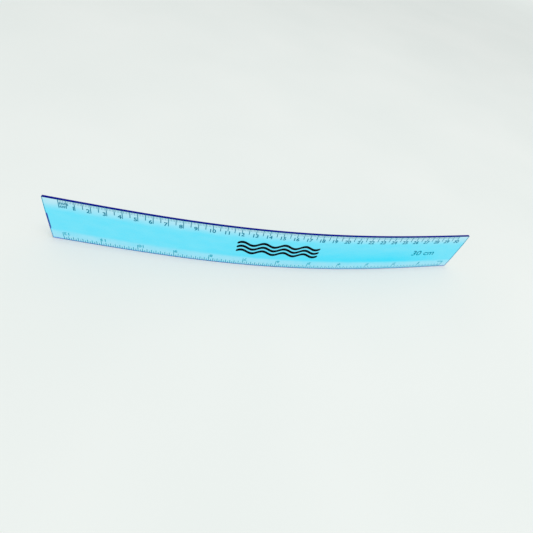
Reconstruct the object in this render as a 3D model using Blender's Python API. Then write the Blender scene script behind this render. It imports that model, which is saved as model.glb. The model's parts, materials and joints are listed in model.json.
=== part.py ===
"""Flexible ruler, 30 cm and 12 inches, standing on its long edge in a gentle bend.

The blade is one strip of tinted plastic. Its back is flat, and its front is thinned
towards both long edges by a shallow bevel that carries the graduations. It flexes
across its width along evenly shared lines, each at a point where neither scale has
a mark, so the strip is made as a chain of spans that turn on upright axes.

Units are metres. X runs along the blade, from the start of the centimetres to their
end, Y from the printed front to the back, and Z up from the inch edge that the blade
stands on. The origin is under the middle of the bent blade.
"""

from collections import namedtuple
from math import atan2, cos, pi, radians, sin

import bmesh
import bpy
from mathutils import Matrix, Vector

MM = 0.001

# The strip
BLADE_LENGTH = 320 * MM
BLADE_WIDTH = 37.5 * MM
CENTRE_THICKNESS = 1.9 * MM
EDGE_THICKNESS = 1.4 * MM
BEVEL_WIDTH = 9 * MM
CORNER_RADIUS = 0.5 * MM
CORNER_SEGMENTS = 4

# How it flexes: it stands bent by REST_TURN from each end to the middle
SPAN_COUNT = 13
FLEX_GAP = 0.4 * MM
REST_TURN = radians(8.1)

# Centimetre scale, on the upper edge. A margin is from the blade's first end to a mark.
# From LONG_NUMBER on, a number takes the place below its mark, which is shorter
CM_MARGIN = 10 * MM
CENTIMETRE = 10 * MM
CENTIMETRES = 30
CM_PARTS = 10
LONG_NUMBER = 10
MM_MARK = 2.4 * MM
HALF_CM_MARK = 5.2 * MM
CM_MARK = 7.1 * MM
SHORT_CM_MARK = 4.2 * MM

# Inch scale, on the lower edge, whose 12 inch mark is the one by the first end
INCH_MARGIN = 8 * MM
INCH = 25.4 * MM
INCHES = 12
INCH_PARTS = 16
EIGHTH_STEP = 2
SIXTEENTH_MARK = 2.6 * MM
EIGHTH_MARK = 3.9 * MM
INCH_MARK = 7.2 * MM

# Every mark is a shallow groove, open at the edge
MARK_WIDTH = 0.25 * MM
MARK_DEPTH = 0.15 * MM
MARK_LAND = 0.1 * MM
OVERRUN = 0.5 * MM

# Points closer together than this count as one
SNAP = 0.0005 * MM

BLUE = (0.13, 0.70, 0.93, 1.0)
PLASTIC_ROUGHNESS = 0.12

BEVEL_DROP = CENTRE_THICKNESS - EDGE_THICKNESS
BEVEL_SLOPE = atan2(BEVEL_DROP, BEVEL_WIDTH)

Mark = namedtuple("Mark", "place length on_upper_edge")
Span = namedtuple("Span", "name start end pivot carrier turn")


def clear_scene():
    """Remove whatever the file holds."""
    for old in list(bpy.data.objects):
        bpy.data.objects.remove(old)


def new_collection(name):
    made = bpy.data.collections.new(name)
    bpy.context.scene.collection.children.link(made)
    return made


def plastic(name):
    """The tinted plastic of the strip."""
    material = bpy.data.materials.new(name)
    material.use_nodes = True
    shader = material.node_tree.nodes["Principled BSDF"]
    shader.inputs["Base Color"].default_value = BLUE
    shader.inputs["Roughness"].default_value = PLASTIC_ROUGHNESS
    shader.inputs["Metallic"].default_value = 0.0
    return material


def scale_marks(margin, unit, units, parts, middle_step, lengths, on_upper_edge):
    """The marks of one scale. Its lengths are those of a fine mark, of a middle one, which
    comes every middle_step, and of the mark at each whole unit."""
    fine, middle, whole = lengths
    marks = []
    for count in range(units * parts + 1):
        length = middle if count % middle_step == 0 else fine
        if count % parts == 0:
            length = whole
        marks.append(Mark(margin + count * unit / parts, length, on_upper_edge))
    return marks


def all_marks():
    """Both scales: millimetres above, and sixteenths of an inch below."""
    upper = scale_marks(CM_MARGIN, CENTIMETRE, CENTIMETRES, CM_PARTS, CM_PARTS // 2,
                        (MM_MARK, HALF_CM_MARK, CM_MARK), True)
    for count in range(LONG_NUMBER * CM_PARTS, len(upper), CM_PARTS):
        upper[count] = upper[count]._replace(length=SHORT_CM_MARK)
    lower = scale_marks(INCH_MARGIN, INCH, INCHES, INCH_PARTS, EIGHTH_STEP,
                        (SIXTEENTH_MARK, EIGHTH_MARK, INCH_MARK), False)
    return upper + lower


def flexure_lines(marks):
    """Even shares of the blade, each moved to the nearest point between two millimetres
    that a mark of neither scale comes close to."""
    step = CENTIMETRE / CM_PARTS
    first = CM_MARGIN % step - step / 2
    between = [first + count * step for count in range(1, int(BLADE_LENGTH / step))]
    reach = (FLEX_GAP + MARK_WIDTH) / 2 + MARK_LAND
    clear = [place for place in between
             if all(abs(place - mark.place) > reach for mark in marks)]
    shares = [count / SPAN_COUNT for count in range(1, SPAN_COUNT)]
    return [min(clear, key=lambda place: abs(place - share * BLADE_LENGTH)) for share in shares]


def heading(place):
    """Direction of the bent blade at a place along it. A strip that is pushed together
    at its two ends curves as a half sine wave: most in the middle, and not at the ends."""
    return -REST_TURN * cos(pi * place / BLADE_LENGTH)


def spans(marks):
    """The middle span, then the others outwards from it. Each turns about the upright
    axis at its inner end, on the span that carries it."""
    lines = [0.0, *flexure_lines(marks), BLADE_LENGTH]
    middles = [(start + end) / 2 for start, end in zip(lines, lines[1:])]
    centre = SPAN_COUNT // 2
    chain = [Span("blade_centre", lines[centre], lines[centre + 1], middles[centre], None, 0.0)]
    for side, way in (("left", -1), ("right", 1)):
        carrier = "blade_centre"
        for step in range(1, centre + 1):
            index = centre + way * step
            pivot = lines[index] if way > 0 else lines[index + 1]
            turn = heading(middles[index]) - heading(middles[index - way])
            name = f"blade_{side}_{step}"
            chain.append(Span(name, lines[index], lines[index + 1], pivot, carrier, turn))
            carrier = name
    return chain


def strip_blank(low, high):
    """A plain piece of strip between two distances from its own origin."""
    blank = bmesh.new()
    size = Matrix.Diagonal((high - low, CENTRE_THICKNESS, BLADE_WIDTH, 1))
    middle = Matrix.Translation(((low + high) / 2, 0, BLADE_WIDTH / 2))
    bmesh.ops.create_cube(blank, size=1, matrix=middle @ size)
    return blank


def round_end_corners(blank, end):
    """Round the two corners of the blade at its outer end."""
    edges = [edge for edge in blank.edges
             if all(abs(vert.co.x - end) < SNAP for vert in edge.verts)
             and abs(edge.verts[0].co.z - edge.verts[1].co.z) < SNAP]
    bmesh.ops.bevel(blank, geom=edges, offset=CORNER_RADIUS, segments=CORNER_SEGMENTS,
                    profile=0.5, affect='EDGES', material=-1)


def thin_towards_edges(blank):
    """Slope the front down to each long edge."""
    front = -CENTRE_THICKNESS / 2
    for height, up in ((BEVEL_WIDTH, -1), (BLADE_WIDTH - BEVEL_WIDTH, 1)):
        outwards = Vector((0, -cos(BEVEL_SLOPE), up * sin(BEVEL_SLOPE)))
        geometry = blank.verts[:] + blank.edges[:] + blank.faces[:]
        cut = bmesh.ops.bisect_plane(blank, geom=geometry, dist=SNAP, plane_no=outwards,
                                     plane_co=(0, front, height), clear_outer=True)
        rim = [part for part in cut["geom_cut"] if isinstance(part, bmesh.types.BMEdge)]
        bmesh.ops.edgeloop_fill(blank, edges=rim)
    bmesh.ops.recalc_face_normals(blank, faces=blank.faces[:])


def add_mark(cutter, mark, origin):
    """A bar as wide as the mark, laid along the bevel and sunk into it by its depth."""
    edge_height = BLADE_WIDTH if mark.on_upper_edge else 0.0
    inward = -1 if mark.on_upper_edge else 1
    along = Vector((0, -sin(BEVEL_SLOPE), inward * cos(BEVEL_SLOPE)))
    outwards = Vector((0, -cos(BEVEL_SLOPE), -inward * sin(BEVEL_SLOPE)))
    across = along.cross(outwards)
    length = mark.length + OVERRUN
    depth = MARK_DEPTH + OVERRUN
    edge = Vector((mark.place - origin, BEVEL_DROP - CENTRE_THICKNESS / 2, edge_height))
    middle = edge + along * (mark.length - OVERRUN) / 2 + outwards * (OVERRUN - MARK_DEPTH) / 2
    bar = Matrix((across * MARK_WIDTH, along * length, outwards * depth)).transposed().to_4x4()
    bmesh.ops.create_cube(cutter, size=1, matrix=Matrix.Translation(middle) @ bar)


def object_from(shape, name, collection):
    """Turn a bmesh into a named object."""
    mesh = bpy.data.meshes.new(name)
    shape.to_mesh(mesh)
    shape.free()
    made = bpy.data.objects.new(name, mesh)
    collection.objects.link(made)
    return made


def make_span(span, marks, parts, cutters):
    """One span of the blade with its share of both scales cut into it."""
    low = span.start - span.pivot + (FLEX_GAP / 2 if span.start > 0 else 0)
    high = span.end - span.pivot - (FLEX_GAP / 2 if span.end < BLADE_LENGTH else 0)
    blank = strip_blank(low, high)
    if span.start == 0:
        round_end_corners(blank, low)
    if span.end == BLADE_LENGTH:
        round_end_corners(blank, high)
    thin_towards_edges(blank)
    blade = object_from(blank, span.name, parts)
    blade.data.materials.append(plastic(f"{span.name}_plastic"))

    bars = bmesh.new()
    for mark in marks:
        if span.start < mark.place < span.end:
            add_mark(bars, mark, span.pivot)
    cutter = object_from(bars, f"{span.name}_marks", cutters)
    cutter.parent = blade
    cutter.hide_render = True
    cutter.display_type = 'WIRE'
    graduations = blade.modifiers.new("graduations", 'BOOLEAN')
    graduations.operation = 'DIFFERENCE'
    graduations.solver = 'EXACT'
    graduations.object = cutter
    return blade


def join_span(blade, span, carrier, carrier_pivot):
    """Hang a span on the one that carries it, turned to the blade's resting bend."""
    blade.parent = carrier
    blade.location = (span.pivot - carrier_pivot, 0, 0)
    blade.rotation_euler = (0, 0, span.turn)


def centre_on_origin(root, blades):
    """Put the middle of the bent blade's footprint on the origin."""
    bpy.context.view_layer.update()
    corners = [blade.matrix_world @ Vector(corner) for blade in blades for corner in blade.bound_box]
    for axis in range(2):
        values = [corner[axis] for corner in corners]
        root.location[axis] -= (min(values) + max(values)) / 2


def build_ruler():
    parts = new_collection("flexible_ruler")
    cutters = new_collection("cutters")
    marks = all_marks()
    blades = {}
    pivots = {}
    for span in spans(marks):
        blade = make_span(span, marks, parts, cutters)
        if span.carrier:
            join_span(blade, span, blades[span.carrier], pivots[span.carrier])
        blades[span.name] = blade
        pivots[span.name] = span.pivot
    centre_on_origin(blades["blade_centre"], list(blades.values()))


clear_scene()
build_ruler()
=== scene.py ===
"""Looks of the flexible ruler: a bent strip of tinted see-through plastic and its print.

The strip and the print are laid out flat, the way a ruler is moulded and printed: x runs
along the blade from its first end, y from the printed front to the back, and z is the
height above the long edge that it stands on. Both are then cut across at the middle of
each span of the frame and laid on the bent blade, so that every length between two such
cuts holds the one joint inside it.
"""

import json
from collections import namedtuple
from math import atan2, cos, pi, radians, sin, sqrt

import bmesh
import bpy
from mathutils import Matrix, Vector

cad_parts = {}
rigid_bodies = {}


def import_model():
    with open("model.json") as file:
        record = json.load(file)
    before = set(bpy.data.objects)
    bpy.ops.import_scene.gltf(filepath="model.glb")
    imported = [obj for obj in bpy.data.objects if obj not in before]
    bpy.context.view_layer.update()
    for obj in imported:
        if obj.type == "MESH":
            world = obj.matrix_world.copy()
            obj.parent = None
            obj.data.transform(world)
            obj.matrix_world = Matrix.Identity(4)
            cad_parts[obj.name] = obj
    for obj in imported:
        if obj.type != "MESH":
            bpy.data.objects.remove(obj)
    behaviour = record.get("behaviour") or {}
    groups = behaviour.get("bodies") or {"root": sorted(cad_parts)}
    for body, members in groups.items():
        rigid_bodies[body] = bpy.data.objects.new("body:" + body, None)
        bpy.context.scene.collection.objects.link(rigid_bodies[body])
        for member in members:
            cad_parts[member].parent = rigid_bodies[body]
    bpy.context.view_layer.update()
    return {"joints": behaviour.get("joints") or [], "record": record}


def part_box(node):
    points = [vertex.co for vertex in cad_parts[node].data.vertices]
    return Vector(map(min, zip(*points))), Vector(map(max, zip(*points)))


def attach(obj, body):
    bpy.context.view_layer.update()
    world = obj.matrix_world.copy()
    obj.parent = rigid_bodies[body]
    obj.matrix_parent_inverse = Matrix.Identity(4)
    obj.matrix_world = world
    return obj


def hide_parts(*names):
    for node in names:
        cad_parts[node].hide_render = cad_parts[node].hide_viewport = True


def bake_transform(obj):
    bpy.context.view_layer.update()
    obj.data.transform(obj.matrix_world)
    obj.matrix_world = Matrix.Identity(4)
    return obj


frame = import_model()

MM = 0.001

# The strip. Its edges are eased where they turn by more than EASED_TURN, and shaded sharp
# where they turn by more than SHADED_TURN
BLADE_LENGTH = 320 * MM
BLADE_WIDTH = 37.5 * MM
CENTRE_THICKNESS = 1.9 * MM
EDGE_THICKNESS = 1.4 * MM
BEVEL_WIDTH = 9 * MM
CORNER_RADIUS = 0.5 * MM
CORNER_SEGMENTS = 4
EASE = 0.12 * MM
EASE_SEGMENTS = 2
EASED_TURN = radians(30)
SHADED_TURN = radians(2)
REST_TURN = radians(8.1)
BEVEL_DROP = CENTRE_THICKNESS - EDGE_THICKNESS
BEVEL_SLOPE = atan2(BEVEL_DROP, BEVEL_WIDTH)

# Where the strip has the colours of its edges: on each face turned by more than EDGE_TURN
# from the front, and on rims along the upper edge and the dark height of the first end,
# whose deep blue is painted shade
EDGE_TURN = radians(10)
UPPER_RIM = 0.6 * MM
END_RIM = 0.6 * MM
END_RIM_TOP = 23 * MM

# Materials of the strip, in their order on a piece
PLASTIC, EDGE, INSIDE = range(3)

# Centimetre scale, on the upper edge. From LONG_NUMBER on, a number takes the place below
# its mark, which is shorter
CM_MARGIN = 10 * MM
CENTIMETRE = 10 * MM
CENTIMETRES = 30
CM_PARTS = 10
LONG_NUMBER = 10
MM_MARK = 2.4 * MM
HALF_CM_MARK = 5.2 * MM
CM_MARK = 7.1 * MM
SHORT_CM_MARK = 4.2 * MM
CM_NUMBER_HEIGHT = 3.05 * MM
CM_NUMBER_FOOT = 7.15 * MM

# Inch scale, on the lower edge, whose 12 inch mark is the one by the first end
INCH_MARGIN = 8 * MM
INCH = 25.4 * MM
INCHES = 12
INCH_PARTS = 16
SIXTEENTH_MARK = 2.6 * MM
EIGHTH_MARK = 3.9 * MM
INCH_MARK = 7.2 * MM
INCH_NUMBER_HEIGHT = 2.75 * MM
INCH_NUMBER_FOOT = 7.7 * MM

# Print. Boldness is how far an outline is moved outwards, CORNER_REACH how many times as
# far a sharp corner may go, and UPRIGHT the turn that stands a flat shape up
FINE_MARK_WIDTH = 0.25 * MM
MARK_WIDTH = 0.54 * MM
INCH_MARK_WIDTH = 0.5 * MM
BOLDNESS = 0.11 * MM
INCH_BOLDNESS = 0.07 * MM
SMALL_BOLDNESS = 0.02 * MM
CORNER_REACH = 1.3
CURVE_STEPS = 3
LETTER_WELD = 0.03 * MM
LETTER_BREADTH = 1.15
NUMBER_GAP = 0.5 * MM
INK_GAP = 0.01 * MM
INK_THICKNESS = 0.03 * MM
EDGE_MARGIN = 0.2 * MM
UPRIGHT = Matrix.Rotation(pi / 2, 4, 'X')

# The units by the zero marks, and the length near the last end
UNIT_HEIGHT = 2.3 * MM
MM_FOOT = 33.4 * MM
CM_FOOT = 30.9 * MM
INCH_UNIT_HEIGHT = 1.9 * MM
SIZE_HEIGHT = 5.5 * MM
SIZE_PLACE = 274 * MM
SIZE_FOOT = 16.5 * MM

# The bold waves in the middle of the front
WAVES_START = 128 * MM
WAVES_END = 191 * MM
WAVES_FOOT = 14.2 * MM
WAVES_HEAD = 24.5 * MM
STRIPES = 3
STRIPE_SHARE = 0.6
STRIPE_STEPS = 126
SWING = 1.5 * MM
SWINGS = 4

# Cuts at each STATION let skin and print bend alike. Points closer together than SNAP count as
# one
STATION = 1 * MM
LINE_STEPS = 640
SNAP = 0.0005 * MM

# The camera: its place, and where its right side, its underside and its lens point
CAMERA_PLACE = (-69.5 * MM, -192.6 * MM, 214.0 * MM)
CAMERA_RIGHT = Vector((0.97345, -0.09537, 0.20808))
CAMERA_DOWN = Vector((0.06225, -0.76452, -0.64158))
CAMERA_AHEAD = Vector((0.22027, 0.63750, -0.73829))
CAMERA_SENSOR = 36
CAMERA_LENS = 25.33
CAMERA_CLIP = 10 * MM

# The surroundings, in metres. The floor passes into the backdrop from FLOOR_NEAR to
# FLOOR_FAR, and FLOOR_GLOW is how much of its own light it shows through the plastic
FLOOR_RADIUS = 6
FLOOR_SEGMENTS = 64
FLOOR_DROP = 0.1 * MM
FLOOR_NEAR = 0.8
FLOOR_FAR = 2.2
FLOOR_GLOW = 0.8
WORLD_STRENGTH = 0.35
LAMP_PLACE = (0.2, -0.55, 3.0)
LAMP_SIZE = 2.05
LAMP_POWER = 71

Region = namedtuple("Region", "name bodies nodes start end joint")


# Objects of the scene

def new_object(name, data):
    made = bpy.data.objects.new(name, data)
    bpy.context.collection.objects.link(made)
    return made


def object_from(shape, name, materials):
    """Turn a bmesh into an object."""
    mesh = bpy.data.meshes.new(name)
    shape.to_mesh(mesh)
    shape.free()
    for material in materials:
        mesh.materials.append(material)
    return new_object(name, mesh)


# The bent blade

def heading(place):
    """Direction of the bent blade: a strip pushed together at its ends is a half sine."""
    return -REST_TURN * cos(pi * place / BLADE_LENGTH)


def centre_line():
    """Points along the middle of the standing blade, with the origin at their centre."""
    step = BLADE_LENGTH / LINE_STEPS
    points = [Vector((0, 0))]
    for count in range(LINE_STEPS):
        turn = heading((count + 0.5) * step)
        points.append(points[-1] + step * Vector((cos(turn), sin(turn))))
    low = Vector([min(point[axis] for point in points) for axis in range(2)])
    high = Vector([max(point[axis] for point in points) for axis in range(2)])
    return [point - (low + high) / 2 for point in points]


LINE = centre_line()


def on_blade(flat):
    """Where a point of the flat layout comes to lie on the bent blade."""
    step = BLADE_LENGTH / LINE_STEPS
    index = min(max(int(flat.x / step), 0), LINE_STEPS - 1)
    middle = LINE[index].lerp(LINE[index + 1], flat.x / step - index)
    turn = heading(flat.x)
    return Vector((middle.x - flat.y * sin(turn), middle.y + flat.y * cos(turn), flat.z))


def place_along(point):
    """How far along the blade the nearest point of its centre line is."""
    near = min(range(LINE_STEPS + 1), key=lambda index: (LINE[index] - point).length)
    return near * BLADE_LENGTH / LINE_STEPS


def regions():
    """The two ends, which ride on the last spans, and between them a length over each joint."""
    body_of = {node: body for body, nodes in frame["record"]["behaviour"]["bodies"].items()
               for node in nodes}
    nodes = sorted(body_of, key=lambda node: sum(corner.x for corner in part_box(node)))
    bodies = [body_of[node] for node in nodes]
    places = {frozenset((joint["parent"], joint["child"])): Vector(joint["pos_m"][:2])
              for joint in frame["joints"]}
    joints = [place_along(places[frozenset(pair)]) for pair in zip(bodies, bodies[1:])]
    limits = [0.0, *joints, BLADE_LENGTH]
    middles = [(start + end) / 2 for start, end in zip(limits, limits[1:])]
    found = [Region("first_end", bodies[:1], nodes[:1], 0.0, middles[0], None)]
    for index, (start, end) in enumerate(zip(middles, middles[1:])):
        pair = bodies[index:index + 2]
        found.append(Region("_to_".join(pair), pair, nodes[index:index + 2], start, end,
                            joints[index]))
    found.append(Region("last_end", bodies[-1:], nodes[-1:], middles[-1], BLADE_LENGTH, None))
    return found


def cut(flat, point, normal, **cleared):
    """Cut a shape by a plane, and give back the edges that lie along the cut."""
    geometry = flat.verts[:] + flat.edges[:] + flat.faces[:]
    made = bmesh.ops.bisect_plane(flat, geom=geometry, dist=SNAP, plane_co=point,
                                  plane_no=normal, **cleared)
    return [part for part in made["geom_cut"] if isinstance(part, bmesh.types.BMEdge)]


def cut_across(flat, place, keep=0, fill=0):
    """Cut a flat shape at a place along the blade. Keep is 1 for what lies beyond it, -1
    for what lies before it, and 0 for both. Fill is the material of the closed cut."""
    rim = cut(flat, (place, 0, 0), (1, 0, 0), clear_inner=keep > 0, clear_outer=keep < 0)
    if keep:
        made = bmesh.ops.edgeloop_fill(flat, edges=rim, mat_nr=fill)
        for face in made["faces"]:
            face.smooth = False


def length_of(flat, region, fill=0):
    """The part of a flat shape that lies in a region, cut at each station."""
    part = flat.copy()
    if region.start > 0:
        cut_across(part, region.start, 1, fill)
    if region.end < BLADE_LENGTH:
        cut_across(part, region.end, -1, fill)
    steps = round((region.end - region.start) / STATION)
    for count in range(1, steps):
        if part.verts:
            cut_across(part, region.start + (region.end - region.start) * count / steps)
    return part


def lay_on_blade(part, name, materials):
    """Give a flat part its pattern coordinates, lay it on the bent blade and make it a piece."""
    pattern = part.loops.layers.uv.new("layout")
    for face in part.faces:
        for loop in face.loops:
            loop[pattern].uv = (loop.vert.co.x / BLADE_LENGTH, loop.vert.co.z / BLADE_WIDTH)
    for vert in part.verts:
        vert.co = on_blade(vert.co)
    bmesh.ops.recalc_face_normals(part, faces=part.faces[:])
    return object_from(part, name, materials)


def carry(piece, region):
    """Let a piece ride on the one span that it lies on. A piece over a joint stays where it lies."""
    if len(region.bodies) == 1:
        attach(piece, region.bodies[0])
    else:
        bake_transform(piece)


# The strip

def edges_where(flat, wanted):
    return [edge for edge in flat.edges if wanted(edge)]


def is_edge(face):
    """True on every face but the front and the back, and on a narrow rim of these: along
    the upper edge, and along the dark height of the first end, which is painted shade."""
    middle = face.calc_center_median()
    painted_shade_end = middle.x < END_RIM and BEVEL_WIDTH < middle.z < END_RIM_TOP
    rim = middle.z > BLADE_WIDTH - UPPER_RIM or painted_shade_end
    return rim or abs(face.normal.y) < cos(EDGE_TURN)


def flat_strip():
    """The whole strip: rounded corners, a front thinned towards both long edges, and eased
    rims."""
    strip = bmesh.new()
    size = Matrix.Diagonal((BLADE_LENGTH, CENTRE_THICKNESS, BLADE_WIDTH, 1))
    middle = Matrix.Translation((BLADE_LENGTH / 2, 0, BLADE_WIDTH / 2))
    bmesh.ops.create_cube(strip, size=1, matrix=middle @ size)
    corners = edges_where(strip, lambda edge: abs(edge.verts[0].co.y - edge.verts[1].co.y) > SNAP)
    bmesh.ops.bevel(strip, geom=corners, offset=CORNER_RADIUS, segments=CORNER_SEGMENTS,
                    profile=0.5, affect='EDGES', material=-1)
    for height, up in ((BEVEL_WIDTH, -1), (BLADE_WIDTH - BEVEL_WIDTH, 1)):
        outwards = Vector((0, -cos(BEVEL_SLOPE), up * sin(BEVEL_SLOPE)))
        rim = cut(strip, (0, -CENTRE_THICKNESS / 2, height), outwards, clear_outer=True)
        bmesh.ops.edgeloop_fill(strip, edges=rim)
    bmesh.ops.recalc_face_normals(strip, faces=strip.faces[:])
    rims = edges_where(strip, lambda edge: edge.calc_face_angle() > EASED_TURN)
    bmesh.ops.bevel(strip, geom=rims, offset=EASE, segments=EASE_SEGMENTS, profile=0.5,
                    affect='EDGES', material=-1)
    for height in (BEVEL_WIDTH, END_RIM_TOP, BLADE_WIDTH - UPPER_RIM):
        cut(strip, (0, 0, height), (0, 0, 1))
    cut_across(strip, END_RIM)
    bmesh.ops.recalc_face_normals(strip, faces=strip.faces[:])
    for face in strip.faces:
        face.smooth = True
        face.material_index = EDGE if is_edge(face) else PLASTIC
    return strip


# The print

def front_at(height):
    """Depth of the front at a height: the slopes drop away from the flat middle."""
    slope = BEVEL_DROP / BEVEL_WIDTH
    drop = max(0, BEVEL_WIDTH - height, height - BLADE_WIDTH + BEVEL_WIDTH) * slope
    return drop - CENTRE_THICKNESS / 2


def add_bar(sheet, place, low, high, width):
    """A mark: an upright bar of ink between two heights."""
    size = Matrix.Diagonal((width, 1, high - low, 1))
    middle = Matrix.Translation((place, 0, (low + high) / 2))
    bmesh.ops.create_grid(sheet, x_segments=1, y_segments=1, size=0.5,
                          matrix=middle @ size @ UPRIGHT)


def letter_shapes(text, size):
    """Text as the font draws it: a flat mesh along x, with its foot on the x axis."""
    curve = bpy.data.curves.new("lettering", 'FONT')
    curve.body = text
    curve.size = size
    curve.resolution_u = CURVE_STEPS
    writing = bpy.data.objects.new("lettering", curve)
    mesh = bpy.data.meshes.new_from_object(writing)
    bpy.data.objects.remove(writing)
    bpy.data.curves.remove(curve)
    return mesh


def digit_share():
    """Height of a digit of the font as a share of its size."""
    mesh = letter_shapes("0", 1.0)
    heights = [vert.co.y for vert in mesh.vertices]
    bpy.data.meshes.remove(mesh)
    return max(heights) - min(heights)


DIGIT_SHARE = digit_share()


def embolden(flat, boldness):
    """Move the outline of flat lettering outwards all round, less far at a sharp corner."""
    outwards = {}
    for edge in edges_where(flat, lambda edge: edge.is_boundary):
        loop = edge.link_loops[0]
        along = loop.link_loop_next.vert.co - loop.vert.co
        for vert in edge.verts:
            outwards.setdefault(vert, []).append(along.cross(Vector((0, 0, 1))).normalized())
    for vert, (first, second) in outwards.items():
        miter = (first + second) / (1 + first.dot(second))
        vert.co += boldness * min(1, CORNER_REACH / miter.length) * miter


def lettering(text, height, boldness=BOLDNESS):
    """A few digits or letters, whose digits have the given height before they are made
    bolder. They stand upright along x, with their left end at the origin."""
    mesh = letter_shapes(text, height / DIGIT_SHARE)
    flat = bmesh.new()
    flat.from_mesh(mesh)
    bmesh.ops.remove_doubles(flat, verts=flat.verts[:], dist=LETTER_WELD)
    inner = edges_where(flat, lambda edge: not edge.is_boundary)
    bmesh.ops.beautify_fill(flat, faces=flat.faces[:], edges=inner)
    embolden(flat, boldness)
    flat.to_mesh(mesh)
    flat.free()
    left = min(vert.co.x for vert in mesh.vertices)
    broad = Matrix.Diagonal((LETTER_BREADTH, 1, 1, 1))
    mesh.transform(UPRIGHT @ broad @ Matrix.Translation((-left, 0, 0)))
    return mesh


def width_of(mesh):
    return max(vert.co.x for vert in mesh.vertices)


def add_lettering(sheet, mesh, place, foot, turned=False):
    """Put lettering on the sheet with its left end at a place and its foot at a height, or
    turned upside down about that point."""
    turn = Matrix.Rotation(pi if turned else 0.0, 4, 'Y')
    mesh.transform(Matrix.Translation((place, 0, foot)) @ turn)
    sheet.from_mesh(mesh)
    bpy.data.meshes.remove(mesh)


def centimetre_scale(sheet):
    """Millimetres from the upper edge down. A single digit stands left of its mark, and a
    longer number under a shorter mark."""
    for count in range(CENTIMETRES * CM_PARTS + 1):
        number, rest = divmod(count, CM_PARTS)
        place = CM_MARGIN + number * CENTIMETRE + rest * CENTIMETRE / CM_PARTS
        length = MM_MARK
        if rest == CM_PARTS // 2:
            length = HALF_CM_MARK
        if rest == 0:
            length = CM_MARK if number < LONG_NUMBER else SHORT_CM_MARK
        width = FINE_MARK_WIDTH if length == MM_MARK else MARK_WIDTH
        add_bar(sheet, place, BLADE_WIDTH - length, BLADE_WIDTH - EDGE_MARGIN, width)
        if rest == 0 and number > 0:
            text = lettering(str(number), CM_NUMBER_HEIGHT)
            breadth = width_of(text)
            left = place - breadth - NUMBER_GAP if number < LONG_NUMBER else place - breadth / 2
            add_lettering(sheet, text, left, BLADE_WIDTH - CM_NUMBER_FOOT)


def inch_scale(sheet):
    """Sixteenths of an inch from the lower edge up, read with the other long edge down."""
    for count in range(INCHES * INCH_PARTS + 1):
        length = SIXTEENTH_MARK if count % 2 else EIGHTH_MARK
        if count % INCH_PARTS == 0:
            length = INCH_MARK
        place = INCH_MARGIN + count * INCH / INCH_PARTS
        add_bar(sheet, place, EDGE_MARGIN, length, INCH_MARK_WIDTH)
        if count % INCH_PARTS == 0 and count < INCHES * INCH_PARTS:
            number = INCHES - count // INCH_PARTS
            text = lettering(str(number), INCH_NUMBER_HEIGHT, INCH_BOLDNESS)
            right = place + NUMBER_GAP + width_of(text)
            add_lettering(sheet, text, right, INCH_NUMBER_FOOT, turned=True)


def unit_marks(sheet):
    """The units of both scales, beside their zero marks."""
    for text, foot in (("mm", MM_FOOT), ("cm", CM_FOOT)):
        add_lettering(sheet, lettering(text, UNIT_HEIGHT), CM_MARGIN + NUMBER_GAP, foot)
    inch = lettering("inch", INCH_UNIT_HEIGHT, SMALL_BOLDNESS)
    zero = INCH_MARGIN + INCHES * INCH
    add_lettering(sheet, inch, zero - NUMBER_GAP, INCH_NUMBER_FOOT, turned=True)


def size_mark(sheet):
    """The ruler's length in small print near its last end."""
    add_lettering(sheet, lettering(f"{CENTIMETRES} cm", SIZE_HEIGHT), SIZE_PLACE, SIZE_FOOT)


def wave_motif(sheet):
    """Bold waves side by side, with round ends."""
    length = WAVES_END - WAVES_START
    pitch = (WAVES_HEAD - WAVES_FOOT) / (STRIPES - 1 + STRIPE_SHARE)
    breadth = pitch * STRIPE_SHARE
    size = Matrix.Diagonal((length, breadth, 1, 1))
    for stripe in range(STRIPES):
        height = WAVES_FOOT + pitch * (stripe + STRIPE_SHARE / 2)
        middle = Matrix.Translation(((WAVES_START + WAVES_END) / 2, 0, height))
        made = bmesh.ops.create_grid(sheet, x_segments=STRIPE_STEPS, y_segments=2, size=0.5,
                                     matrix=middle @ UPRIGHT @ size)
        for vert in made["verts"]:
            share = (vert.co.x - WAVES_START) / length
            to_end = min(share, 1 - share) * length / (breadth / 2)
            narrowing = sqrt(max(0.0, 1 - max(0.0, 1 - to_end) ** 2))
            vert.co.z = height + (vert.co.z - height) * narrowing
            vert.co.z += SWING * sin(2 * pi * SWINGS * share)
    bmesh.ops.remove_doubles(sheet, verts=sheet.verts[:], dist=SNAP)


def as_film(sheet):
    """Give flat print the thickness of ink, and set it on the front of the strip."""
    bmesh.ops.recalc_face_normals(sheet, faces=sheet.faces[:])
    made = bmesh.ops.extrude_face_region(sheet, geom=sheet.faces[:])
    raised = [part for part in made["geom"] if isinstance(part, bmesh.types.BMVert)]
    bmesh.ops.translate(sheet, verts=raised, vec=(0, -INK_THICKNESS, 0))
    for vert in sheet.verts:
        vert.co.y += front_at(vert.co.z) - INK_GAP
    bmesh.ops.recalc_face_normals(sheet, faces=sheet.faces[:])


# Finishes. Along the blade and up it, a pattern is placed by shares of the blade's size

def colour(red, green, blue):
    """A colour read as 0 to 255 on a screen, as light."""
    def linear(value):
        value /= 255
        return value / 12.92 if value <= 0.04045 else ((value + 0.055) / 1.055) ** 2.4
    return (linear(red), linear(green), linear(blue), 1.0)


def grey(amount):
    return (amount, amount, amount, 1.0)


# Tones of the inks, where they lie thin and thick
UPPER_TONES = (colour(0, 154, 186), colour(0, 128, 160))
LOWER_TONES = (colour(0, 198, 224), colour(0, 176, 204))
BOLD_TONES = (colour(4, 8, 20), colour(1, 3, 12))


def new_material(name):
    material = bpy.data.materials.new(name)
    material.use_nodes = True
    return material, material.node_tree, material.node_tree.nodes["Principled BSDF"]


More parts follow.
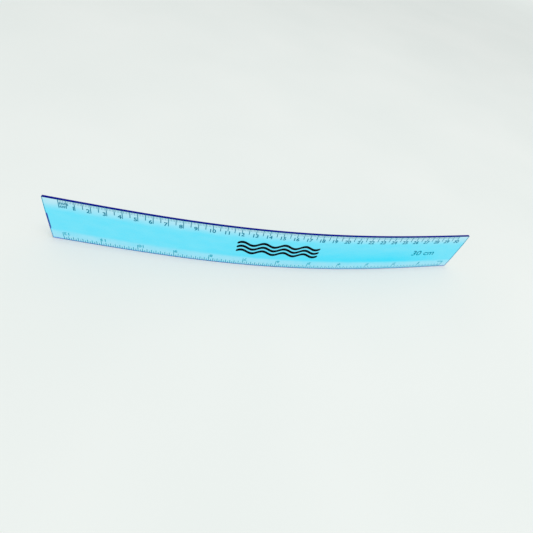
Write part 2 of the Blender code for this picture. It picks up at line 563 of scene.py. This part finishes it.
def layout_of(tree):
    """The pattern coordinates that a piece got from the flat layout."""
    layout = tree.nodes.new("ShaderNodeUVMap")
    layout.uv_map = "layout"
    return layout.outputs["UV"]


def layout_axis(tree, axis):
    """The pattern coordinate along the blade (X) or up it (Y)."""
    parts = tree.nodes.new("ShaderNodeSeparateXYZ")
    tree.links.new(layout_of(tree), parts.inputs[0])
    return parts.outputs[axis]


def bands(tree, factor, stops):
    """Colours that follow one another along a factor."""
    ramp = tree.nodes.new("ShaderNodeValToRGB")
    tree.links.new(factor, ramp.inputs["Fac"])
    elements = ramp.color_ramp.elements
    for index, (place, tone) in enumerate(stops):
        element = elements[index] if index < 2 else elements.new(place)
        element.position = place
        element.color = tone
    return ramp.outputs["Color"]


def past_middle(tree, axis):
    """Black before the middle of the blade along an axis, and white past it."""
    return bands(tree, layout_axis(tree, axis), [(0.4, grey(0)), (0.6, grey(1))])


def streaks(tree, scale, along):
    """Faint flow lines of the moulding, drawn out along the blade."""
    stretch = tree.nodes.new("ShaderNodeMapping")
    stretch.inputs["Scale"].default_value = (along, 1.0, 1.0)
    noise = tree.nodes.new("ShaderNodeTexNoise")
    noise.inputs["Scale"].default_value = scale
    noise.inputs["Detail"].default_value = 3.0
    tree.links.new(layout_of(tree), stretch.inputs["Vector"])
    tree.links.new(stretch.outputs["Vector"], noise.inputs["Vector"])
    return noise.outputs["Fac"]


def mixed(tree, kind, amount, first, second):
    """Two colours mixed by an amount. Each of the three is a value or the output of a node."""
    mix = tree.nodes.new("ShaderNodeMix")
    mix.data_type = 'RGBA'
    mix.blend_type = kind
    for name, value in (("Factor", amount), ("A", first), ("B", second)):
        if isinstance(value, bpy.types.NodeSocket):
            tree.links.new(value, mix.inputs[name])
        else:
            mix.inputs[name].default_value = value
    return mix.outputs["Result"]


def mixed_shaders(tree, share, first, second):
    """The first of two shaders where the share is 0, and the second where it is 1."""
    mix = tree.nodes.new("ShaderNodeMixShader")
    tree.links.new(share, mix.inputs["Fac"])
    tree.links.new(first.outputs[0], mix.inputs[1])
    tree.links.new(second.outputs[0], mix.inputs[2])
    return mix


def in_range(tree, factor, low, high):
    """A factor from 0 to 1, spread over another range."""
    scaled = tree.nodes.new("ShaderNodeMapRange")
    scaled.inputs["To Min"].default_value = low
    scaled.inputs["To Max"].default_value = high
    tree.links.new(factor, scaled.inputs["Value"])
    return scaled.outputs["Result"]


def show(tree, shader, output="Material Output"):
    tree.links.new(shader.outputs[0], tree.nodes[output].inputs["Surface"])


def plastic_tint(tree, up):
    """The tint: deep in the flat middle and pale where the strip thins. Low down towards the
    last end it is deepest, which is painted shade: the shadow behind the blade, seen through it."""
    rim, pale, thin = colour(197, 236, 247), colour(172, 231, 248), colour(139, 229, 252)
    full, painted_shade_tone = colour(100, 228, 254), colour(14, 223, 255)
    even = bands(tree, up, [(0.00, pale), (0.20, thin), (0.26, full), (0.72, full),
                            (0.80, thin), (0.88, pale), (0.97, rim)])
    # This ramp holds painted shade: its deepest tone low down stands in for the shadow behind the
    # blade
    deep = bands(tree, up, [(0.00, pale), (0.20, thin), (0.23, full), (0.27, painted_shade_tone),
                            (0.31, painted_shade_tone), (0.64, full), (0.77, full), (0.84, thin),
                            (0.95, rim)])
    # Share of the ramp with painted shade along the blade, most towards the last end
    depth = bands(tree, layout_axis(tree, "X"),
                  [(0.30, grey(0)), (0.60, grey(0.6)), (0.80, grey(1)), (0.90, grey(0.6)),
                   (0.97, grey(0.16))])
    return mixed(tree, 'MIX', depth, even, deep)


def blue_plastic():
    """The strip seen through, faintly streaked and uneven. Light that falls through it
    passes straight on, bluer near the foot, and so does light reflected inside it."""
    material, tree, shader = new_material("blue_plastic")
    up = layout_axis(tree, "Y")
    flow = streaks(tree, scale=9.0, along=3.0)
    cloud = bands(tree, flow, [(0.35, colour(220, 252, 255)), (0.65, grey(1))])
    tone = mixed(tree, 'MULTIPLY', 0.8, plastic_tint(tree, up), cloud)
    tree.links.new(tone, shader.inputs["Base Color"])
    tree.links.new(in_range(tree, flow, 0.03, 0.08), shader.inputs["Roughness"])
    shader.inputs["IOR"].default_value = 1.5
    shader.inputs["Transmission Weight"].default_value = 1.0
    bump = tree.nodes.new("ShaderNodeBump")
    bump.inputs["Strength"].default_value = 0.02
    bump.inputs["Distance"].default_value = 0.1 * MM
    tree.links.new(streaks(tree, scale=40.0, along=4.0), bump.inputs["Height"])
    tree.links.new(bump.outputs["Normal"], shader.inputs["Normal"])

    lighter = tree.nodes.new("ShaderNodeGamma")
    lighter.inputs["Gamma"].default_value = 0.42
    tree.links.new(tone, lighter.inputs["Color"])
    foot = bands(tree, up, [(0.04, colour(130, 150, 225)), (0.16, colour(230, 234, 250)),
                            (0.40, grey(1))])
    cast = mixed(tree, 'MULTIPLY', 1.0, lighter.outputs["Color"], foot)
    passing = tree.nodes.new("ShaderNodeBsdfTransparent")
    tree.links.new(cast, passing.inputs["Color"])
    leaving = tree.nodes.new("ShaderNodeBsdfTransparent")
    tree.links.new(lighter.outputs["Color"], leaving.inputs["Color"])
    rays = tree.nodes.new("ShaderNodeLightPath")
    seen = shader
    for kind, clear in (("Is Diffuse Ray", passing), ("Is Shadow Ray", passing),
                        ("Is Glossy Ray", leaving)):
        seen = mixed_shaders(tree, rays.outputs[kind], seen, clear)
    show(tree, seen)
    return material


def plastic_edge():
    """The strip seen edge on, where light has crossed much of it: navy above, lavender below,
    and teal at both ends. The deep blue along a height of the first end is painted shade."""
    material, tree, shader = new_material("plastic_edge")
    up, along = layout_axis(tree, "Y"), layout_axis(tree, "X")
    teal, blue = colour(115, 240, 255), colour(0, 88, 208)
    long_edges = bands(tree, up, [(0.10, colour(126, 168, 232)), (0.90, colour(0, 6, 138))])
    # Painted shade: the first end is deep blue along its flat height, where the last end stays
    # teal
    first = bands(tree, up, [(0.235, teal), (0.245, blue), (0.608, blue), (0.618, teal)])
    ends = mixed(tree, 'MIX', past_middle(tree, "X"), first, teal)
    at_end = bands(tree, along, [(0.002, grey(1)), (0.003, grey(0)), (0.997, grey(0)),
                                 (0.998, grey(1))])
    below_top = bands(tree, up, [(0.98, grey(1)), (0.99, grey(0))])
    is_end = mixed(tree, 'MULTIPLY', 1.0, at_end, below_top)
    depth = mixed(tree, 'MIX', is_end, long_edges, ends)
    flow = streaks(tree, scale=30.0, along=8.0)
    cloud = bands(tree, flow, [(0.3, colour(215, 215, 225)), (0.7, grey(1))])
    tree.links.new(mixed(tree, 'MULTIPLY', 0.6, depth, cloud), shader.inputs["Base Color"])
    tree.links.new(in_range(tree, flow, 0.3, 0.45), shader.inputs["Roughness"])
    shader.inputs["Specular IOR Level"].default_value = 0.05
    return material


def inside_plastic():
    """Where one length of the strip meets the next: nothing is seen there."""
    material, tree, shader = new_material("inside_plastic")
    show(tree, tree.nodes.new("ShaderNodeBsdfTransparent"))
    tree.nodes.remove(shader)
    return material


def ink(name, upper, lower):
    """Printed ink, a little uneven in how densely it lies. It has a thin and a thick tone for
    the upper half of the front, and two for the lower half."""
    material, tree, shader = new_material(name)
    density = streaks(tree, scale=160.0, along=8.5)
    tones = [bands(tree, density, [(0.3, thin), (0.65, thick)]) for thin, thick in (lower, upper)]
    tone = mixed(tree, 'MIX', past_middle(tree, "Y"), *tones)
    tree.links.new(tone, shader.inputs["Base Color"])
    tree.links.new(in_range(tree, density, 0.35, 0.55), shader.inputs["Roughness"])
    shader.inputs["Specular IOR Level"].default_value = 0.04
    return material


# The camera and the surroundings

BACKDROP = colour(233, 239, 236)


def make_camera():
    """The photograph's view: above, left of the middle and rolled a little."""
    data = bpy.data.cameras.new("camera")
    data.sensor_width = CAMERA_SENSOR
    data.lens = CAMERA_LENS
    data.clip_start = CAMERA_CLIP
    camera = new_object("camera", data)
    axes = Matrix((CAMERA_RIGHT, -CAMERA_DOWN, -CAMERA_AHEAD)).transposed().to_4x4()
    camera.matrix_world = Matrix.Translation(CAMERA_PLACE) @ axes
    bpy.context.scene.camera = camera


def floor_finish():
    """Pale, with a glow where it is seen through the plastic. Far away it is the backdrop."""
    material, tree, shader = new_material("floor")
    place = tree.nodes.new("ShaderNodeTexCoord").outputs["Object"]
    noise = tree.nodes.new("ShaderNodeTexNoise")
    noise.inputs["Scale"].default_value = 6.0
    tree.links.new(place, noise.inputs["Vector"])
    tone = bands(tree, noise.outputs["Fac"], [(0.3, colour(231, 237, 234)),
                                              (0.7, colour(235, 240, 237))])
    tree.links.new(tone, shader.inputs["Base Color"])
    shader.inputs["Roughness"].default_value = 0.9
    shader.inputs["Specular IOR Level"].default_value = 0.1

    rays = tree.nodes.new("ShaderNodeLightPath")
    glow = tree.nodes.new("ShaderNodeMath")
    glow.operation = 'MULTIPLY'
    glow.inputs[1].default_value = FLOOR_GLOW
    tree.links.new(rays.outputs["Is Transmission Ray"], glow.inputs[0])
    lit = mixed_shaders(tree, glow.outputs[0], shader, tree.nodes.new("ShaderNodeEmission"))
    away = tree.nodes.new("ShaderNodeVectorMath")
    away.operation = 'LENGTH'
    tree.links.new(place, away.inputs[0])
    fading = tree.nodes.new("ShaderNodeMapRange")
    fading.inputs["From Min"].default_value = FLOOR_NEAR
    fading.inputs["From Max"].default_value = FLOOR_FAR
    tree.links.new(away.outputs["Value"], fading.inputs["Value"])
    tree.links.new(rays.outputs["Is Camera Ray"], fading.inputs["To Max"])
    far = tree.nodes.new("ShaderNodeEmission")
    far.inputs["Color"].default_value = BACKDROP
    show(tree, mixed_shaders(tree, fading.outputs["Result"], lit, far))
    return material


def make_floor():
    """A floor that keeps the ruler's shadow."""
    disc = bmesh.new()
    bmesh.ops.create_circle(disc, cap_ends=True, radius=FLOOR_RADIUS, segments=FLOOR_SEGMENTS)
    made = object_from(disc, "floor", [floor_finish()])
    made.location.z = -FLOOR_DROP


def make_world():
    """Plain pale light from all round, seen as the backdrop."""
    world = bpy.data.worlds.new("studio")
    world.use_nodes = True
    tree = world.node_tree
    light = tree.nodes["Background"]
    light.inputs["Color"].default_value = grey(1)
    light.inputs["Strength"].default_value = WORLD_STRENGTH
    backdrop = tree.nodes.new("ShaderNodeBackground")
    backdrop.inputs["Color"].default_value = BACKDROP
    rays = tree.nodes.new("ShaderNodeLightPath")
    seen = rays.outputs["Is Camera Ray"]
    for kind in ("Is Glossy Ray", "Is Transmission Ray"):
        either = tree.nodes.new("ShaderNodeMath")
        either.operation = 'MAXIMUM'
        tree.links.new(seen, either.inputs[0])
        tree.links.new(rays.outputs[kind], either.inputs[1])
        seen = either.outputs[0]
    show(tree, mixed_shaders(tree, seen, light, backdrop), "World Output")
    bpy.context.scene.world = world


def make_lamp():
    """A broad lamp overhead, a little in front of the blade."""
    data = bpy.data.lights.new("lamp_overhead", 'AREA')
    data.shape = 'DISK'
    data.size = LAMP_SIZE
    data.energy = LAMP_POWER
    lamp = new_object("lamp_overhead", data)
    lamp.location = LAMP_PLACE
    lamp.rotation_euler = (-Vector(LAMP_PLACE)).to_track_quat('-Z', 'Y').to_euler()


# The ruler

def build_ruler():
    """The strip and its print, one length after another."""
    strip = flat_strip()
    scales = bmesh.new()
    for add_print in (centimetre_scale, inch_scale, unit_marks, size_mark):
        add_print(scales)
    waves = bmesh.new()
    wave_motif(waves)
    as_film(scales)
    as_film(waves)
    plastics = [blue_plastic(), plastic_edge(), inside_plastic()]
    scale_ink = ink("scale_ink", UPPER_TONES, LOWER_TONES)
    bold_ink = ink("bold_ink", BOLD_TONES, BOLD_TONES)
    for region in regions():
        skin = lay_on_blade(length_of(strip, region, INSIDE), f"strip_{region.name}", plastics)
        skin.data.set_sharp_from_angle(angle=SHADED_TURN)
        carry(skin, region)
        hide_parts(*region.nodes)
        for kind, sheet, finish in (("scale", scales, scale_ink), ("wave", waves, bold_ink)):
            part = length_of(sheet, region)
            if not part.faces:
                part.free()
                continue
            film = lay_on_blade(part, f"{kind}_{region.name}", [finish])
            carry(film, region)


bpy.context.scene.view_settings.view_transform = 'Standard'
make_camera()
build_ruler()
make_floor()
make_world()
make_lamp()
